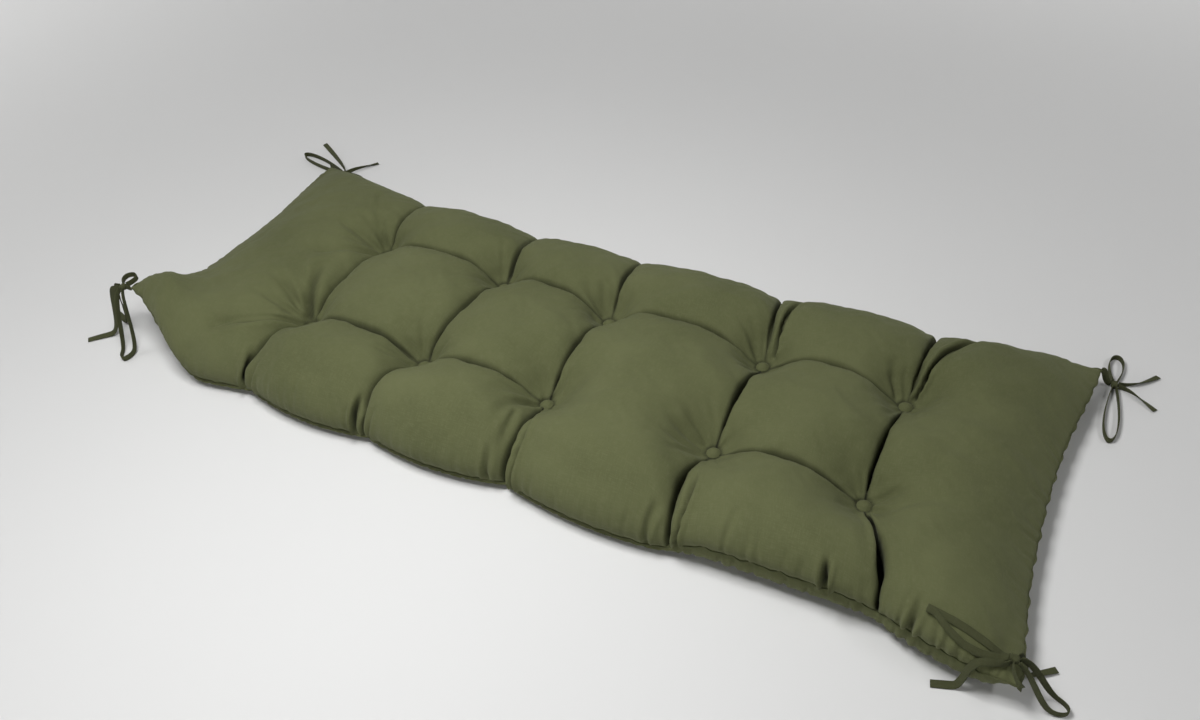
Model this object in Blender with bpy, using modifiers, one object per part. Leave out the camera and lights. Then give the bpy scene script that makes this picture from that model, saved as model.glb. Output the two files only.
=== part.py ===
# Tufted bench cushion: two panels of olive cloth, filled, drawn down by ten covered buttons, with a
# tape tied in a bow at each corner. Metres, +Z up. X runs along the bench, Y from the front edge to
# the back edge, and the origin lies under the middle of the cushion, on the surface it rests on.
import math

import bmesh
import bpy
from mathutils import Vector, geometry

# Driving dimensions of the filled cover
SEAM_HEIGHT = 0.031     # edge seam above the surface
CROWN = 0.074           # rise of a full puff above the seam
EDGE_REACH = 0.085      # how far in from the front edge the top panel goes on rising
BACK_REACH = 0.100      # the same at the back edge
END_REACH = 0.150       # the same at the two short ends, which rise more gently
END_POWER = 0.72
UNDER_REACH = 0.050     # how far in from the seam the bottom panel meets the surface
FOLD_REACH = 0.090      # half width of the slope beside a fold
EDGE_SCALLOP = 0.012    # how far a puff pushes the front seam out between two folds
BACK_SCALLOP = 0.010
BUTTON_PULL = 0.42      # share of the height that a button takes out of its tuft
BUTTON_REACH = 0.050
TUFT_RISE = 0.007       # hollow under each button in the bottom panel
TUFT_REACH = 0.028

# The folds that run from the front edge to the back edge, with the two ends of the cushion. Each row
# gives x and y where the fold crosses the front edge, button row b, button row c and the back edge,
# how far it bows sideways in the front part, and its depth as a share of the height in the front,
# middle and back part of the cushion.
COLUMNS = (
    # name    x front, row b, row c,   back    y front, row b, row c,   back    bow     front, middle, back
    ("left",  -0.650, -0.642, -0.636, -0.657, -0.246, -0.108, 0.068, 0.248, 0.000, 0.00, 0.00, 0.00),
    ("1",     -0.397, -0.377, -0.380, -0.406, -0.230, -0.111, 0.066, 0.205, -0.005, 0.62, 0.50, 0.36),
    ("2",     -0.188, -0.174, -0.166, -0.184, -0.234, -0.114, 0.071, 0.198, -0.010, 0.62, 0.46, 0.38),
    ("3",      0.026,  0.021,  0.018, -0.004, -0.227, -0.110, 0.062, 0.205, 0.004, 0.62, 0.42, 0.36),
    ("4",      0.257,  0.254,  0.251,  0.228, -0.234, -0.098, 0.066, 0.202, -0.009, 0.62, 0.42, 0.34),
    ("5",      0.503,  0.447,  0.445,  0.448, -0.226, -0.101, 0.070, 0.214, 0.012, 0.60, 0.48, 0.36),
    ("right",  0.657,  0.640,  0.638,  0.657, -0.248, -0.104, 0.068, 0.248, 0.000, 0.00, 0.00, 0.00),
)

# The six parts between those folds: crown as a share of CROWN, and the depth there of the fold along
# button row b and row c.
PARTS = (
    # crown, row b, row c
    (0.82, 0.16, 0.10),
    (1.00, 0.34, 0.30),
    (1.00, 0.34, 0.30),
    (1.06, 0.05, 0.26),
    (1.02, 0.38, 0.32),
    (0.94, 0.10, 0.06),
)
TUFT_DEPTH = 0.50       # depth of every fold where it meets a button

# Short second folds that leave a tuft beside the main one: start and end in plan, depth, half width
SIDE_FOLDS = (
    ("beside c4", 0.262, 0.100, 0.262, 0.190, 0.22, 0.030),
    ("beside c5", 0.462, 0.110, 0.505, 0.205, 0.26, 0.032),
    ("beside c1", -0.400, 0.075, -0.455, 0.150, 0.10, 0.040),
    ("left of b1", -0.400, -0.108, -0.500, -0.125, 0.12, 0.040),
)

# The front left corner stands up and back, as its tie holds it
LIFT_CORNER = (-0.650, -0.246)
LIFT_REACH = 0.200
LIFT = (0.010, 0.062, 0.054)

# Buttons
BUTTON_RADIUS = 0.0088
BUTTON_HALF_HEIGHT = 0.0034
WELL_RADIUS = 0.0096    # hollow that the button is drawn into
WELL_HEIGHT = 0.05      # of the cutter that makes it
SEAT_GAP = 0.0003       # clearance between pieces that touch

# Tapes
TAPE_WIDTH = 0.0085
TAPE_THICKNESS = 0.0013
TAPE_STEP = 0.0060      # distance between the sections of a tape
ROUTE_STEPS = 80        # steps of the fine route that those sections are taken from
STRAND_GAP = 0.0006     # from the end of a strand to its knot
KNOT_LENGTH = 0.0100    # along the bow
KNOT_DEPTH = 0.0090     # from the corner outwards
KNOT_HEIGHT = 0.0090
LOOP_GAP = 0.0024       # half the distance between the two legs of a loop at its knot
LOOP_SPREAD = 0.0100    # half the width of an open loop
FOLD_RADIUS = 0.0016    # of the turn at the tip of a folded loop
FOLD_SPREAD = 0.0060    # how far its upper leg strays from the lower one
FOLD_STEPS = 5          # straight pieces in that turn
ROOT_HANDLE = 0.0090    # how far a root goes straight at either end, or less where it is short
SHORT_ROOT = 0.4        # the most of its own length that a root goes straight
OVER_COVER = 0.0010     # further height of a tape that lies on the cushion
END_TURN = 80.0         # degrees that a free end turns from upright at its knot to flat at its tip

# One bow at each corner. The root leaves the corner's seam in its own direction and runs to the knot,
# and the heading is the way the first loop points, both in degrees from +X; the second loop points the
# other way. A loop has its reach, and is open or folded flat. An end has its reach and heading, how far it first goes straight out as a
# share of its reach, and the side of the knot that it leaves: 1 is away from the root, -1 beside it.
BOWS = (
    {"name": "back_left", "corner": (0, 3), "root": 135, "knot": (-0.656, 0.270, 0.0052), "heading": 168,
     "loops": ((0.108, "open"), (0.050, "open")), "ends": ((0.125, 148, 0.06, 1), (0.060, 60, 0.3, 1))},
    {"name": "back_right", "corner": (6, 3), "root": 45, "knot": (0.679, 0.256, 0.0052), "heading": 95,
     "loops": ((0.050, "open"), (0.100, "open")), "ends": ((0.060, 40, 0.3, 1), (0.055, -25, 0.3, 1))},
    {"name": "front_left", "corner": (0, 0), "root": 225, "knot": (-0.652, -0.188, 0.0860), "heading": 110,
     "loops": ((0.024, "level"), (0.062, "open")), "ends": ((0.080, 218, 0.3, 1), (0.070, 172, 0.3, 1))},
    {"name": "front_right", "corner": (6, 0), "root": 305, "knot": (0.645, -0.232, 0.0550), "heading": 176,
     "loops": ((0.086, "folded"), (0.058, "open")), "ends": ((0.072, 200, 0.05, -1), (0.054, 40, 0.05, 1))},
)

# How coverHeight finds a place: steps, the usual size of a part, and how near is near enough
SEARCH_STEPS = 40
PART_LENGTH = 0.22
PART_DEPTH = 0.17
FOUND_WITHIN = 0.0005

# Cells along each part and across the front, middle and back, for the modelled solid
CELLS_ALONG = 13
CELLS_ACROSS = (8, 10, 8)
EDGE_CROWDING = 0.42    # 0 spaces the cells evenly, 1 gathers them at the folds

UP = Vector((0.0, 0.0, 1.0))

CLOTH_COLOUR = (0.110, 0.122, 0.058, 1.0)
BUTTON_COLOUR = (0.100, 0.112, 0.052, 1.0)
TAPE_COLOUR = (0.045, 0.050, 0.030, 1.0)


def clamp(value, low=0.0, high=1.0):
    return max(low, min(high, value))


def arch(distance, reach, power=0.5):
    """Quarter round: 0 at the line, 1 from `reach` on."""
    rest = 1.0 - clamp(abs(distance) / reach)
    return (1.0 - rest * rest) ** power


def crowded(share):
    return share - EDGE_CROWDING * math.sin(2.0 * math.pi * share) / (2.0 * math.pi)


def split(value, parts):
    """The part that a grid value lies in, and how far along it is."""
    index = min(int(value), parts - 1)
    return index, value - index


def smoothThrough(values, v):
    """A smooth line through values that stand at v = 0, 1, 2 and 3."""
    index, share = split(v, 3)
    before = values[max(index - 1, 0)]
    start, end = values[index], values[index + 1]
    after = values[min(index + 2, 3)]
    slopeStart, slopeEnd = (end - before) / 2.0, (after - start) / 2.0
    square, cube = share * share, share ** 3
    return ((2.0 * cube - 3.0 * square + 1.0) * start + (cube - 2.0 * square + share) * slopeStart
            + (3.0 * square - 2.0 * cube) * end + (cube - square) * slopeEnd)


def foldX(column, v):
    bow = COLUMNS[column][9] * math.sin(math.pi * clamp(v)) ** 2
    return smoothThrough(COLUMNS[column][1:5], v) + bow


def rowY(row, u):
    """Y of the front edge, button row b, row c and the back edge (row 0 to 3) along the cushion."""
    index, share = split(u, 6)
    y = COLUMNS[index][5 + row] * (1.0 - share) + COLUMNS[index + 1][5 + row] * share
    puff = math.sin(math.pi * share) ** 0.8
    return y - EDGE_SCALLOP * puff * (row == 0) + BACK_SCALLOP * puff * (row == 3)


def planPoint(u, v):
    column, along = split(u, 6)
    row, across = split(v, 3)
    x = foldX(column, v) * (1.0 - along) + foldX(column + 1, v) * along
    y = rowY(row, u) * (1.0 - across) + rowY(row + 1, u) * across
    return x, y


def depthAlong(value, middles, ends):
    """Depth of a fold: its own value in the middle of each part, and `ends` where it meets a button."""
    index, share = split(value, len(middles))
    near = (1.0 - math.sin(math.pi * share)) ** 1.5
    node = ends[index] if share < 0.5 else ends[index + 1]
    return middles[index] + (node - middles[index]) * near


def crownAt(u):
    """Crown along the cushion, blended from the middle of one part to the middle of the next."""
    place = clamp(u - 0.5, 0.0, 5.0)
    index, share = split(place, 5)
    blend = share * share * (3.0 - 2.0 * share)
    return CROWN * (PARTS[index][0] * (1.0 - blend) + PARTS[index + 1][0] * blend)


def sideFold(x, y, fold):
    _, x1, y1, x2, y2, depth, reach = fold
    alongX, alongY = x2 - x1, y2 - y1
    share = clamp(((x - x1) * alongX + (y - y1) * alongY) / (alongX ** 2 + alongY ** 2))
    distance = math.hypot(x - x1 - share * alongX, y - y1 - share * alongY)
    return 1.0 - depth * (1.0 - arch(distance, reach))


def edgeRise(x, y, u, v, front, back, ends):
    """0 on the seam and 1 inside it, as the product of the rises from the four edges."""
    rise = arch(y - rowY(0, u), front, 0.55) * arch(rowY(3, u) - y, back, 0.55)
    return rise * arch(x - foldX(0, v), ends, END_POWER) * arch(foldX(6, v) - x, ends, END_POWER)


def lifted(x, y, z):
    away = math.hypot(x - LIFT_CORNER[0], y - LIFT_CORNER[1])
    share = clamp(1.0 - away / LIFT_REACH)
    pull = share * share * (3.0 - 2.0 * share)
    return Vector((x + LIFT[0] * pull, y + LIFT[1] * pull, z + LIFT[2] * pull))


def topPoint(u, v):
    x, y = planPoint(u, v)
    height = crownAt(u) * edgeRise(x, y, u, v, EDGE_REACH, BACK_REACH, END_REACH)
    for column in range(1, 6):
        depths = COLUMNS[column][10:13]
        depth = depthAlong(v, depths, (depths[0], TUFT_DEPTH, TUFT_DEPTH, depths[2]))
        height *= 1.0 - depth * (1.0 - arch(x - foldX(column, v), FOLD_REACH))
    for row in (1, 2):
        ends = (0.0,) + (TUFT_DEPTH,) * 5 + (0.0,)
        depth = depthAlong(u, [part[row] for part in PARTS], ends)
        height *= 1.0 - depth * (1.0 - arch(y - rowY(row, u), FOLD_REACH))
    for _, _, buttonX, buttonY in buttonPlaces():
        height *= 1.0 - BUTTON_PULL * (1.0 - arch(math.hypot(x - buttonX, y - buttonY), BUTTON_REACH))
    for fold in SIDE_FOLDS:
        height *= sideFold(x, y, fold)
    return lifted(x, y, SEAM_HEIGHT + height)


def coverHeight(x, y):
    """Height of the top panel over a place in plan, or 0 beside the cushion."""
    u, v = 3.0, 1.5
    for _ in range(SEARCH_STEPS):
        place = topPoint(u, v)
        u = clamp(u + (x - place.x) / PART_LENGTH, 0.0, 6.0)
        v = clamp(v + (y - place.y) / PART_DEPTH, 0.0, 3.0)
    place = topPoint(u, v)
    inside = math.hypot(x - place.x, y - place.y) < FOUND_WITHIN
    return place.z if inside else 0.0


def bottomPoint(u, v):
    x, y = planPoint(u, v)
    z = SEAM_HEIGHT * (1.0 - edgeRise(x, y, u, v, UNDER_REACH, UNDER_REACH, UNDER_REACH))
    for _, _, buttonX, buttonY in buttonPlaces():
        z += TUFT_RISE * (1.0 - arch(math.hypot(x - buttonX, y - buttonY), TUFT_REACH))
    return lifted(x, y, z)


def buttonPlaces():
    """Row letter, column, x and y of the ten buttons."""
    return [(letter, column, COLUMNS[column][1 + row], COLUMNS[column][5 + row])
            for row, letter in ((1, "b"), (2, "c")) for column in range(1, 6)]


def gridValues():
    """The grid's lines along and across the cushion, gathered towards the folds."""
    along = [column + crowded(step / CELLS_ALONG) for column in range(6) for step in range(CELLS_ALONG)]
    across = [row + crowded(step / cells) for row, cells in enumerate(CELLS_ACROSS) for step in range(cells)]
    return along + [6.0], across + [3.0]


def clearScene():
    for old in list(bpy.data.objects):
        bpy.data.objects.remove(old, do_unlink=True)


def newCollection(name):
    collection = bpy.data.collections.new(name)
    bpy.context.scene.collection.children.link(collection)
    return collection


def clothMaterial(name, colour, roughness):
    material = bpy.data.materials.new(name)
    material.use_nodes = True
    shader = material.node_tree.nodes["Principled BSDF"]
    shader.inputs["Base Color"].default_value = colour
    shader.inputs["Roughness"].default_value = roughness
    shader.inputs["Metallic"].default_value = 0.0
    return material


def addObject(name, bm, collection, parent, material=None):
    mesh = bpy.data.meshes.new(name)
    bm.to_mesh(mesh)
    bm.free()
    mesh.shade_smooth()
    if material:
        mesh.materials.append(material)
    piece = bpy.data.objects.new(name, mesh)
    piece.parent = parent
    collection.objects.link(piece)
    return piece


def layPanel(bm, place):
    """One panel of the cover: a flat grid whose points are laid out by the function `place`."""
    along, across = gridValues()
    panel = bmesh.ops.create_grid(bm, x_segments=len(along) - 1, y_segments=len(across) - 1, size=0.5)
    for tip in [vert for vert in panel["verts"] if len(vert.link_faces) == 1]:
        # a cut from the tip inwards keeps some thickness in the corner of the cushion
        inner = max(tip.link_faces[0].verts, key=lambda vert: (vert.co - tip.co).length)
        bmesh.ops.connect_verts(bm, verts=[tip, inner])
    for vert in panel["verts"]:
        column = round((vert.co.x + 0.5) * (len(along) - 1))
        row = round((vert.co.y + 0.5) * (len(across) - 1))
        vert.co = place(along[column], across[row])
    return {face for vert in panel["verts"] for face in vert.link_faces}


def buildCushion(parts, cutters, parent, material):
    bm = bmesh.new()
    layPanel(bm, topPoint)
    bottom = layPanel(bm, bottomPoint)
    bmesh.ops.reverse_faces(bm, faces=list(bottom))
    bmesh.ops.remove_doubles(bm, verts=bm.verts, dist=1e-6)
    cushion = addObject("cushion", bm, parts, parent, material)
    for letter, column, x, y in buttonPlaces():
        well = bmesh.new()
        bmesh.ops.create_cone(well, cap_ends=True, segments=20, radius1=WELL_RADIUS, radius2=WELL_RADIUS,
                              depth=WELL_HEIGHT)
        cutter = addObject(f"well_{letter}{column}", well, cutters, parent)
        cutter.location = (x, y, seatHeight(column, letter) + WELL_HEIGHT / 2.0)
        cutter.hide_render = True
        cutter.display_type = "WIRE"
        cut = cushion.modifiers.new(cutter.name, "BOOLEAN")
        cut.operation = "DIFFERENCE"
        cut.solver = "EXACT"
        cut.object = cutter
    return cushion


def seatHeight(column, letter):
    """Height of the cloth under a button."""
    return topPoint(column, 1 if letter == "b" else 2).z


def buildButtons(parts, parent, material):
    for letter, column, x, y in buttonPlaces():
        bm = bmesh.new()
        bmesh.ops.create_uvsphere(bm, u_segments=14, v_segments=6, radius=1.0)
        size = Vector((BUTTON_RADIUS, BUTTON_RADIUS, BUTTON_HALF_HEIGHT))
        bmesh.ops.scale(bm, vec=size, verts=bm.verts)
        button = addObject(f"button_{letter}{column}", bm, parts, parent, material)
        button.location = (x, y, seatHeight(column, letter) + BUTTON_HALF_HEIGHT + SEAT_GAP)


def evenPoints(route, step):
    """Points at even distances along a fine route."""
    lengths = [0.0]
    for start, end in zip(route, route[1:]):
        lengths.append(lengths[-1] + (end - start).length)
    count = max(4, round(lengths[-1] / step))
    points, index = [], 0
    for number in range(count + 1):
        target = lengths[-1] * number / count
        while index < len(route) - 2 and lengths[index + 1] < target:
            index += 1
        span = lengths[index + 1] - lengths[index]
        points.append(route[index].lerp(route[index + 1], (target - lengths[index]) / span))
    return points


def foldedSections(knot, direction, reach):
    """A loop that lies flat: it runs out over the cover, folds at its tip and comes back on top."""
    side = Vector((-direction.y, direction.x, 0.0))
    start = knot + direction * (KNOT_LENGTH / 2.0 + STRAND_GAP)
    legCount = round(reach / TAPE_STEP)
    turns = [math.pi * number / FOLD_STEPS for number in range(1, FOLD_STEPS)]
    legs = [(reach * number / legCount, -FOLD_RADIUS, 0.0) for number in range(legCount + 1)]
    legs += [(reach + FOLD_RADIUS * math.sin(turn), -FOLD_RADIUS * math.cos(turn), 0.0) for turn in turns]
    for number in range(legCount, -1, -1):
        share = number / legCount
        legs.append((reach * share, FOLD_RADIUS, FOLD_SPREAD * math.sin(math.pi * share)))
    sections = []
    for out, rise, stray in legs:
        point = start + direction * out - side * stray
        edges = [point + side * (TAPE_WIDTH / 2.0 * across) for across in (-1.0, 0.0, 1.0)]
        under = max(coverHeight(edge.x, edge.y) for edge in edges)
        bed = under + TAPE_THICKNESS / 2.0 + FOLD_RADIUS + OVER_COVER if under else 0.0
        point.z = max(knot.z, bed) + rise
        sections.append(point)
    return sections, [side] * len(sections)


def clearOfCover(points):
    """Raises the points that would run into the top panel, and leaves the two ends where they are."""
    last = len(points) - 1
    raised = []
    for number, point in enumerate(points):
        near = points[max(number - 2, 0):number + 3]
        under = max(coverHeight(place.x, place.y) for place in near)
        lowest = under + layHeight(0.0) + OVER_COVER if under else 0.0
        raised.append(Vector((point.x, point.y, max(point.z, lowest))))
    for number in range(1, last):   # eases the way down from the cushion
        raised[number].z = max(raised[number].z, (raised[number - 1].z + raised[number + 1].z) / 2.0)
    return [points[0]] + raised[1:last] + [points[last]]


def acrossDirections(points, route, turn):
    """The way the tape's width points at each section: upright at the first, then turned evenly."""
    last = len(points) - 1
    directions = []
    for number in range(last + 1):
        tangent = points[min(number + 1, last)] - points[max(number - 1, 0)]
        if number == 0:
            tangent = route[1] - route[0]
        if number == last:
            tangent = route[-1] - route[-2]
        tangent.normalize()
        upright = (UP - tangent * tangent.dot(UP)).normalized()
        angle = math.radians(turn) * number / last
        directions.append(upright * math.cos(angle) + tangent.cross(upright) * math.sin(angle))
    return directions


def openSections(route, turn, beside=False):
    """Sections along a route; `beside` is for a tape that stays outside the cushion."""
    points = evenPoints(route, TAPE_STEP)
    if not beside:
        points = clearOfCover(points)
    return points, acrossDirections(points, route, turn)


def buildTape(name, points, directions, parts, parent, material):
    """A strip through its sections, with its thickness from Solidify."""
    bm = bmesh.new()
    strip = bmesh.ops.create_grid(bm, x_segments=len(points) - 1, y_segments=1, size=0.5)
    for vert in strip["verts"]:
        number = round((vert.co.x + 0.5) * (len(points) - 1))
        side = math.copysign(TAPE_WIDTH / 2.0, vert.co.y)
        vert.co = points[number] + directions[number] * side
    tape = addObject(name, bm, parts, parent, material)
    thickness = tape.modifiers.new("thickness", "SOLIDIFY")
    thickness.thickness = TAPE_THICKNESS
    thickness.offset = 0.0
    return tape


def heading(degrees):
    angle = math.radians(degrees)
    return Vector((math.cos(angle), math.sin(angle), 0.0))


def layHeight(angle):
    """Height of a tape's middle line where it lies on the surface, turned by `angle` from upright."""
    return TAPE_WIDTH / 2.0 * abs(math.cos(angle)) + TAPE_THICKNESS / 2.0 + 2.0 * SEAT_GAP


def settle(share):
    """How far a tape has come down from its knot's height."""
    share = clamp(share)
    return share * share * (3.0 - 2.0 * share)


def loopRoute(knot, direction, reach, style):
    """A drop-shaped loop that leaves the knot, opens near its tip and comes back beside its start."""
    side = Vector((-direction.y, direction.x, 0.0))
    start = knot + direction * (KNOT_LENGTH / 2.0 + STRAND_GAP)
    tip = knot.z if style == "level" else layHeight(0.0)
    route = []
    for step in range(ROUTE_STEPS + 1):
        share = step / ROUTE_STEPS
        out = (1.0 - math.cos(2.0 * math.pi * share)) / 2.0
        spread = LOOP_GAP * math.cos(math.pi * share)
        spread += LOOP_SPREAD * math.sin(2.0 * math.pi * share) * out ** 0.5
        point = start + direction * (reach * out) + side * spread
        point.z = knot.z + (tip - knot.z) * settle(out * 1.25)
        route.append(point)
    return route


def endRoute(knot, outward, offset, reach, direction, straight):
    """A free end that leaves the side of the knot, bends to its own heading and turns flat."""
    side = Vector((-outward.y, outward.x, 0.0))
    start = knot + outward * (KNOT_DEPTH / 2.0 + STRAND_GAP) + side * offset
    tip = start + direction * reach
    bend = start + outward * (reach * straight)
    route = []
    for step in range(ROUTE_STEPS + 1):
        share = step / ROUTE_STEPS
        point = start * (1.0 - share) ** 2 + bend * (2.0 * share * (1.0 - share)) + tip * share ** 2
        lying = layHeight(math.radians(END_TURN) * share)
        point.z = knot.z + (lying - knot.z) * settle((share - 0.14) * 1.9)
        route.append(point)
    return route


def rootRoute(corner, inner, outward, direction):
    """The short tape that leaves the corner's seam level and meets the knot square on."""
    diagonal = Vector((math.copysign(1.0, corner.x), math.copysign(1.0, corner.y), 0.0)).normalized()
    start = corner + diagonal * (2.0 * SEAT_GAP)
    handle = min(ROOT_HANDLE, SHORT_ROOT * (inner - start).length)
    leave, arrive = start + direction * handle, inner - outward * handle
    return list(geometry.interpolate_bezier(start, leave, arrive, inner, ROUTE_STEPS + 1))


def buildBow(bow, parts, parent, material):
    name = bow["name"]
    knotCentre = Vector(bow["knot"])
    along = heading(bow["heading"])
    corner = topPoint(*bow["corner"])
    outward = Vector((-along.y, along.x, 0.0))
    if outward.dot(knotCentre - corner) < 0.0:
        outward.negate()

    bm = bmesh.new()
    bmesh.ops.create_cube(bm, size=1.0)
    bmesh.ops.scale(bm, vec=(KNOT_LENGTH, KNOT_DEPTH, KNOT_HEIGHT), verts=bm.verts)
    knot = addObject(f"tie_{name}_knot", bm, parts, parent, material)
    knot.location = knotCentre
    knot.rotation_euler.z = math.atan2(along.y, along.x)
    rounding = knot.modifiers.new("rounding", "BEVEL")
    rounding.width = 0.0014
    rounding.segments = 1

    inner = knotCentre - outward * (KNOT_DEPTH / 2.0 + STRAND_GAP)
    root = rootRoute(corner, inner, outward, heading(bow["root"]))
    strands = {"root": openSections(root, 0.0, beside=True)}
    for number, (reach, style) in enumerate(bow["loops"], 1):
        direction = along if number == 1 else -along
        if style == "folded":
            strands[f"loop{number}"] = foldedSections(knotCentre, direction, reach)
        else:
            strands[f"loop{number}"] = openSections(loopRoute(knotCentre, direction, reach, style), 0.0)
    for number, (reach, angle, straight, side) in enumerate(bow["ends"], 1):
        offset = LOOP_GAP * side if number == 1 else -LOOP_GAP
        route = endRoute(knotCentre, outward * side, offset, reach, heading(angle), straight)
        strands[f"end{number}"] = openSections(route, END_TURN)
    for strand, (points, directions) in strands.items():
        buildTape(f"tie_{name}_{strand}", points, directions, parts, parent, material)


def main():
    clearScene()
    parts = newCollection("bench_cushion")
    cutters = newCollection("cutters")
    base = bpy.data.objects.new("base", None)
    parts.objects.link(base)
    cloth = clothMaterial("cover cloth", CLOTH_COLOUR, 0.92)
    covered = clothMaterial("button cloth", BUTTON_COLOUR, 0.90)
    tape = clothMaterial("tape", TAPE_COLOUR, 0.90)
    cushion = buildCushion(parts, cutters, base, cloth)
    buildButtons(parts, base, covered)
    for bow in BOWS:
        buildBow(bow, parts, base, tape)
    places = [vert.co for vert in cushion.data.vertices]
    for axis in (0, 1):
        sides = [place[axis] for place in places]
        base.location[axis] = -(min(sides) + max(sides)) / 2.0


main()
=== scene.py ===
# The looks of the bench cushion: cloth, folds, gathers, covered buttons and tied tapes, in metres
import bpy
import bmesh
import math
import numpy as np
from mathutils import Matrix, Vector, geometry
from mathutils.bvhtree import BVHTree


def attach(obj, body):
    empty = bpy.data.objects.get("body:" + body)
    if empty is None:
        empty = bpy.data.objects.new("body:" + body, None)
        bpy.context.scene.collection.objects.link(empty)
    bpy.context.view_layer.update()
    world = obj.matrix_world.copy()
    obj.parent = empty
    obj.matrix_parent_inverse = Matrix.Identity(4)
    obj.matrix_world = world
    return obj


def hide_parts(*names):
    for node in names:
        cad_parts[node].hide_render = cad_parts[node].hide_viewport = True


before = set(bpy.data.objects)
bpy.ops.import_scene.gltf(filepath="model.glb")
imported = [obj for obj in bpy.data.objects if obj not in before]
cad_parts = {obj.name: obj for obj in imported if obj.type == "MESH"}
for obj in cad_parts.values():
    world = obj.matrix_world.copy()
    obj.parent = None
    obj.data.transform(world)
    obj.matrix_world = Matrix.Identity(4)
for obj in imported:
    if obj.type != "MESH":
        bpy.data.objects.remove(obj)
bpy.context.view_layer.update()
scene = bpy.context.scene
scene.view_settings.view_transform = "Standard"
up = Vector((0.0, 0.0, 1.0))


def deselectAll():
    for item in bpy.context.selected_objects:
        item.select_set(False)


def makeActive(piece):
    deselectAll()
    piece.select_set(True)
    bpy.context.view_layer.objects.active = piece


def added(operator, name, **options):
    deselectAll()
    operator(**options)
    bpy.context.object.name = name
    return bpy.context.object


def linked(name, mesh):
    piece = bpy.data.objects.new(name, mesh)
    scene.collection.objects.link(piece)
    return piece


# the camera stands where the photograph was taken from
view = {
    "place": (0.60325, -0.80448, 0.95),
    "axes": ((0.8975044, -0.2718362, 0.3472622),    # rows of the camera's turn
             (0.4385883, 0.6325222, -0.6384011),
             (-0.0461105, 0.7252729, 0.6869156)),
    "sensorWidth": 36.0,
    "lens": 29.2517,
    "shift": (-0.068077, -0.000674),
    "nearest": 0.02,
}


def makeCamera():
    data = bpy.data.cameras.new("photoCamera")
    camera = linked("photoCamera", data)
    camera.matrix_world = Matrix.Translation(view["place"]) @ Matrix(view["axes"]).to_4x4()
    data.sensor_fit = "HORIZONTAL"
    data.sensor_width = view["sensorWidth"]
    data.lens = view["lens"]
    data.shift_x, data.shift_y = view["shift"]
    data.clip_start = view["nearest"]
    scene.camera = camera


makeCamera()


# shader maths: a wrapped socket that takes part in Python expressions
class Wire:
    def __init__(self, socket):
        self.socket = socket
        self.tree = socket.id_data

    def maths(self, operation, *sides):
        made = addNode(self.tree, "Math", {"operation": operation})
        for number, side in enumerate(sides):
            feed(made.inputs[number], side)
        return Wire(made.outputs[0])

    def __add__(self, other):
        return self.maths("ADD", self, other)

    def __sub__(self, other):
        return self.maths("SUBTRACT", self, other)

    def __mul__(self, other):
        return self.maths("MULTIPLY", self, other)

    __radd__ = __add__
    __rmul__ = __mul__

    def sine(self):
        return self.maths("SINE", self)


def feed(socket, value):
    if isinstance(value, Wire):
        socket.id_data.links.new(value.socket, socket)
    else:
        socket.default_value = value


def addNode(tree, kind, settings=None, sockets=None):
    made = tree.nodes.new("ShaderNode" + kind)
    for key, value in (settings or {}).items():
        setattr(made, key, value)
    for key, value in (sockets or {}).items():
        feed(made.inputs[key], value)
    return made


def result(tree, kind, settings=None, sockets=None, number=0):
    return Wire(addNode(tree, kind, settings, sockets).outputs[number])


def mixColours(tree, share, first, second, blend="MIX"):
    return result(tree, "Mix", {"data_type": "RGBA", "blend_type": blend},
                  {0: share, 6: first, 7: second}, 2)


# the cloth: olive plain weave, matt, a little mottled, with fine slubs both ways
cloth = {
    "pale": (0.108, 0.117, 0.050), "deep": (0.084, 0.092, 0.037), "slub": (0.129, 0.137, 0.068),
    "shadeBlack": (0.0, 0.0, 0.0, 1.0),
    "mottle": {"Scale": 9.0, "Detail": 3.0, "Roughness": 0.55},   # patches to the metre
    "mottleFrom": 0.32, "mottleGain": 2.4,
    "slubNoise": {"Scale": 1.0, "Detail": 2.0, "Roughness": 0.6},
    "slubScales": ((90.0, 900.0, 1.0), (900.0, 90.0, 1.0)),
    "slubShare": {1: 0.46, 2: 0.66, 3: 0.0, 4: 0.55},   # from low and high to low and high
    "gapShade": {1: -1.0, 2: 1.0, 3: 0.88, 4: 1.06},
    "thread": 0.00062, "threadHeight": 0.00016,   # pitch and relief of the weave
    "bump": 0.55, "weaveRelief": 0.5, "slubRelief": 1.6,
    # how dark the painted shade in creases and button rings is
    "creaseShade": 0.94,
    "roughness": 0.9, "slubRoughness": 0.2,
    "sheen": 0.10, "sheenRoughness": 0.45, "sheenTint": (0.62, 0.66, 0.44), "specular": 0.25,
}


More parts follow.
